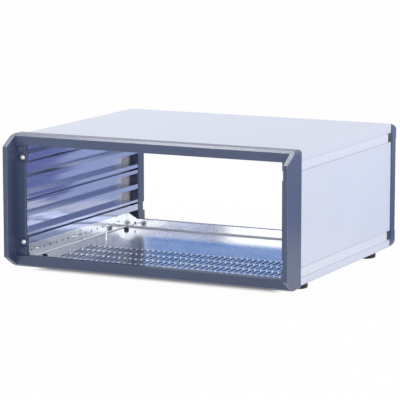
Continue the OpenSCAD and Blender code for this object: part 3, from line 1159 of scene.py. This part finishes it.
@dataclass
class Inside:
    """Tray with its vents and its stud, the small fasteners and the feet."""

    tray: RolledSheet = RolledSheet(
        name="tray_sheet",
        metal=(0.80, 0.815, 0.84),
        dull=(0.77, 0.785, 0.815),
        metallic=0.88,
        roughness=0.165,
    )
    steel: PlatedSteel = PlatedSteel(
        name="bright_plate",
        metal=(0.92, 0.93, 0.95),
        dull=(0.84, 0.85, 0.88),
        metallic=0.6,
        roughness=0.25,
    )
    pale_steel: PlatedSteel = PlatedSteel(
        name="pale_plate",
        metal=(0.95, 0.95, 0.97),
        dull=(0.90, 0.90, 0.93),
        metallic=1.0,
        roughness=0.16,
    )
    rubber: MouldedBlack = MouldedBlack(
        name="foot_rubber",
        colour=(0.012, 0.012, 0.016),
        dust=(0.025, 0.025, 0.032),
        roughness=0.6,
    )
    nylon: MouldedBlack = MouldedBlack(
        name="rivet_nylon",
        colour=(0.012, 0.012, 0.014),
        dust=(0.04, 0.04, 0.045),
        roughness=0.5,
    )
    vents: Vents = field(default_factory=Vents)
    stud: EarthStud = field(default_factory=EarthStud)

    def dress(self) -> None:
        """Builds the tray's own pieces and dresses all that is inside and under the case."""
        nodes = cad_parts
        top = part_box("chassis_tray")[0].z + sheet_thickness()
        dress([sheet_copy("chassis_tray", "chassis_tray_sheet"), self.vents.build(top)], self.tray)
        screws = ("front_frame_screws", "rear_frame_screws", "top_cover_screws", "bottom_cover_screws")
        dress([nodes[name] for name in screws], self.steel)
        dress([nodes["front_panel_inserts"], nodes["rear_panel_inserts"], nodes["tray_screws"],
               self.stud.build(top)], self.pale_steel)
        places = [f"{end}_{side}" for end in ("front", "rear") for side in ("left", "right")]
        dress([nodes[f"{place}_foot"] for place in places], self.rubber)
        dress([nodes[f"{place}_rivet"] for place in places], self.nylon)


# Studio round the case


def flat_square(half: float = 0.5) -> bmesh.types.BMesh:
    """Makes a flat square about the origin.

    Args:
        half: Half the length of a side, which is a metre long if this is left out.

    Returns:
        The square.
    """
    shape = bmesh.new()
    bmesh.ops.create_grid(shape, x_segments=1, y_segments=1, size=half)
    return shape


@dataclass(frozen=True)
class Lamp:
    """Soft panel lamp.

    Attributes:
        place: Place of the lamp's middle.
        target: Point that the lamp faces.
        size: Width and height of the lamp.
        watts: Power of the lamp.
        mirrored: Whether bright metal mirrors the lamp.
    """

    name: str
    place: Point
    target: Point
    size: Pair
    watts: float
    mirrored: bool = True

    def build(self) -> None:
        """Hangs the lamp and turns it to its target."""
        lamp = bpy.data.lights.new(self.name, "AREA")
        lamp.shape = "RECTANGLE"
        lamp.size, lamp.size_y = self.size
        lamp.energy = self.watts
        made = bpy.data.objects.new(self.name, lamp)
        made.location = self.place
        aim = Vector(self.target) - Vector(self.place)
        made.rotation_euler = aim.to_track_quat("-Z", "Y").to_euler()
        made.visible_camera = False
        made.visible_glossy = self.mirrored
        bpy.context.scene.collection.objects.link(made)


@dataclass(frozen=True)
class Card:
    """Coloured card behind the case, which only shows in bright metal.

    Attributes:
        stance: Whether the card stands or lies.
        middle: Place of the card's middle.
        size: Lengths of the card's sides.
        turn: Turn of the card about the upright axis in degrees.
        colour: Colour of the card's glow.
    """

    name: str
    stance: Stance
    middle: Point
    size: Pair
    turn: float
    colour: Colour

    def build(self) -> None:
        """Sets the card up and hides it from the eye and from the light."""
        shape = flat_square()
        bmesh.ops.scale(shape, vec=(*self.size, 1.0), verts=shape.verts)
        place = Matrix.Translation(self.middle) @ Matrix.Rotation(math.radians(self.turn), 4, "Z")
        tilt = Matrix.Rotation(math.radians(self.stance.value), 4, "X")
        bmesh.ops.transform(shape, matrix=place @ tilt, verts=shape.verts)
        card = add_object(shape, self.name)
        card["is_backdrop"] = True
        card.visible_camera = False
        card.visible_diffuse = False
        card.visible_shadow = False
        sheet = NodeSheet(self.name)
        sheet.show(sheet.glow(self.colour))
        card.data.materials.append(sheet.material)


def seen_directly(tree: bpy.types.NodeTree) -> Socket:
    """Tells rays that show the background from rays that carry light.

    Args:
        tree: Node tree of the floor or the sky.

    Returns:
        1 for camera, glossy and transmission rays, and 0 for the others.
    """
    path = tree.nodes.new("ShaderNodeLightPath")
    total = path.outputs["Is Camera Ray"]
    for ray in ("Is Glossy Ray", "Is Transmission Ray"):
        both = tree.nodes.new("ShaderNodeMath")
        both.operation = "MAXIMUM"
        tree.links.new(total, both.inputs[0])
        tree.links.new(path.outputs[ray], both.inputs[1])
        total = both.outputs["Value"]
    return total


def mixed_look(tree: bpy.types.NodeTree, share: Socket, first: Socket, second: Socket) -> Socket:
    """Mixes two looks.

    Args:
        tree: Node tree of the floor or the sky.
        share: Share of the second look.
        first: First look.
        second: Second look.

    Returns:
        The mixed look.
    """
    node = tree.nodes.new("ShaderNodeMixShader")
    for source, target in zip((share, first, second), node.inputs):
        tree.links.new(source, target)
    return node.outputs["Shader"]


@dataclass
class Studio:
    """Pale floor, soft lamps, even sky and the camera.

    Attributes:
        eye: Place of the camera.
        look: Direction of the camera.
        lens: Focal length of the camera in millimetres.
        sensor: Width of the camera's sensor in millimetres.
        far_clip: Distance up to which the camera sees.
        floor_half: Half the width of the floor.
        floor_colour: Colour of the floor in the light of the lamps.
        floor_roughness: Roughness of the floor.
        floor_white: Share of plain white in what the eye sees of the open floor.
        shade_inset: Distance inside the outline of the case at which the floor starts to turn white.
        shade_edge: Distance over which the floor turns white.
        sky: Colour of the light from the sky.
        sky_strength: Strength of the light from the sky.
        lamps: Lamps round the case.
        cards: Cards that the bright metal mirrors.
    """

    eye: Point = (1.5614, -3.2157, 0.6713)
    look: Point = (-0.43305, 0.88748, -0.15764)
    lens: float = 201.26
    sensor: float = 36.0
    far_clip: float = 200.0
    floor_half: float = 40.0
    floor_colour: Colour = (0.86, 0.86, 0.87)
    floor_roughness: float = 0.9
    floor_white: float = 0.975
    shade_inset: float = 0.06
    shade_edge: float = 0.03
    sky: Colour = (0.97, 0.98, 1.0)
    sky_strength: float = 0.45
    lamps: tuple[Lamp, ...] = (
        Lamp("top_panel", (-0.95, 0.47, 2.2), (0.0, 0.0, 0.15), (0.95, 0.5), 21.0),
        Lamp("right_panel", (2.6, 0.25, 1.0), (0.0, 0.0, 0.1), (1.8, 1.6), 30.0, mirrored=False),
        Lamp("front_right_panel", (1.0, -3.0, 0.8), (0.0, 0.0, 0.1), (2.6, 1.5), 20.0),
        Lamp("front_left_panel", (-1.3, -2.6, 0.55), (0.0, 0.0, 0.1), (1.4, 0.8), 4.5),
        Lamp("rear_panel", (0.0, 1.7, 0.35), (0.0, 0.0, 0.1), (0.9, 0.3), 5.0, mirrored=False),
    )
    cards: tuple[Card, ...] = (
        Card("sky_card", Stance.UPRIGHT, (-0.297, 0.93, 0.219), (0.594, 0.142), 0.0, (0.0, 0.165, 0.57)),
        Card("grey_card", Stance.UPRIGHT, (0.2275, 0.93, 0.23), (0.455, 0.16), 0.0, (0.35, 0.40, 0.55)),
        Card("violet_mat", Stance.FLAT, (0.669, 0.941, 0.001), (0.6, 1.5), -29.2, (0.22, 0.25, 0.50)),
        Card("pale_mat", Stance.FLAT, (0.2195, 1.1927, 0.001), (0.43, 1.5), -29.2, (0.59, 0.66, 0.86)),
    )

    def build(self) -> None:
        """Sets the whole studio up."""
        self.build_floor()
        self.build_sky()
        for prop in (*self.lamps, *self.cards):
            prop.build()
        self.build_camera()
        bpy.context.scene.view_settings.view_transform = "Standard"

    def build_floor(self) -> None:
        """Lays the floor, white for the eye and for reflections, with the shadow kept under the case."""
        floor = add_object(flat_square(self.floor_half), "floor")
        floor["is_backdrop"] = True
        sheet = NodeSheet("pale_floor")
        sheet.fix(Base_Color=(*self.floor_colour, 1.0), Roughness=self.floor_roughness)
        white = sheet.calc("MULTIPLY", seen_directly(sheet.tree), self.open_floor(sheet))
        sheet.show(mixed_look(sheet.tree, white, sheet.shader.outputs["BSDF"], sheet.glow(WHITE)))
        floor.data.materials.append(sheet.material)

    def open_floor(self, sheet: NodeSheet) -> Socket:
        """Tells the open floor from the floor that the case hides.

        Args:
            sheet: Node tree of the floor.

        Returns:
            0 well under the case, and the whiteness of the floor elsewhere.
        """
        axes = sheet.axes()
        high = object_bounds()[1]
        beyond = [sheet.calc("SUBTRACT", sheet.calc("ABSOLUTE", axes[axis]), reach - self.shade_inset)
                  for axis, reach in ((Axis.X, high.x), (Axis.Y, high.y))]
        return sheet.span(sheet.calc("MAXIMUM", *beyond), 0.0, self.floor_white, (0.0, self.shade_edge))

    def build_sky(self) -> None:
        """Lights the scene evenly from all round, behind a white background."""
        world = bpy.data.worlds.new("soft_sky")
        bpy.context.scene.world = world
        world.use_nodes = True
        tree = world.node_tree
        light = tree.nodes["Background"]
        light.inputs["Color"].default_value = (*self.sky, 1.0)
        light.inputs["Strength"].default_value = self.sky_strength
        white = tree.nodes.new("ShaderNodeBackground")
        white.inputs["Color"].default_value = (*WHITE, 1.0)
        looks = (light.outputs["Background"], white.outputs["Background"])
        shown = mixed_look(tree, seen_directly(tree), *looks)
        tree.links.new(shown, tree.nodes["World Output"].inputs["Surface"])

    def build_camera(self) -> None:
        """Stands the camera where the photograph was taken."""
        lens = bpy.data.cameras.new("camera")
        lens.lens = self.lens
        lens.sensor_width = self.sensor
        lens.clip_end = self.far_clip
        made = bpy.data.objects.new("camera", lens)
        made.location = self.eye
        made.rotation_euler = Vector(self.look).to_track_quat("-Z", "Y").to_euler()
        bpy.context.scene.collection.objects.link(made)
        bpy.context.scene.camera = made


def main() -> None:
    """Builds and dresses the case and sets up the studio."""
    logging.basicConfig(level=logging.INFO, format="%(name)s: %(message)s")
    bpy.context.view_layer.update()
    castings = CastFrames()
    castings.dress(castings.build())
    Shell().dress()
    Inside().dress()
    Studio().build()


if __name__ == "__main__":
    main()
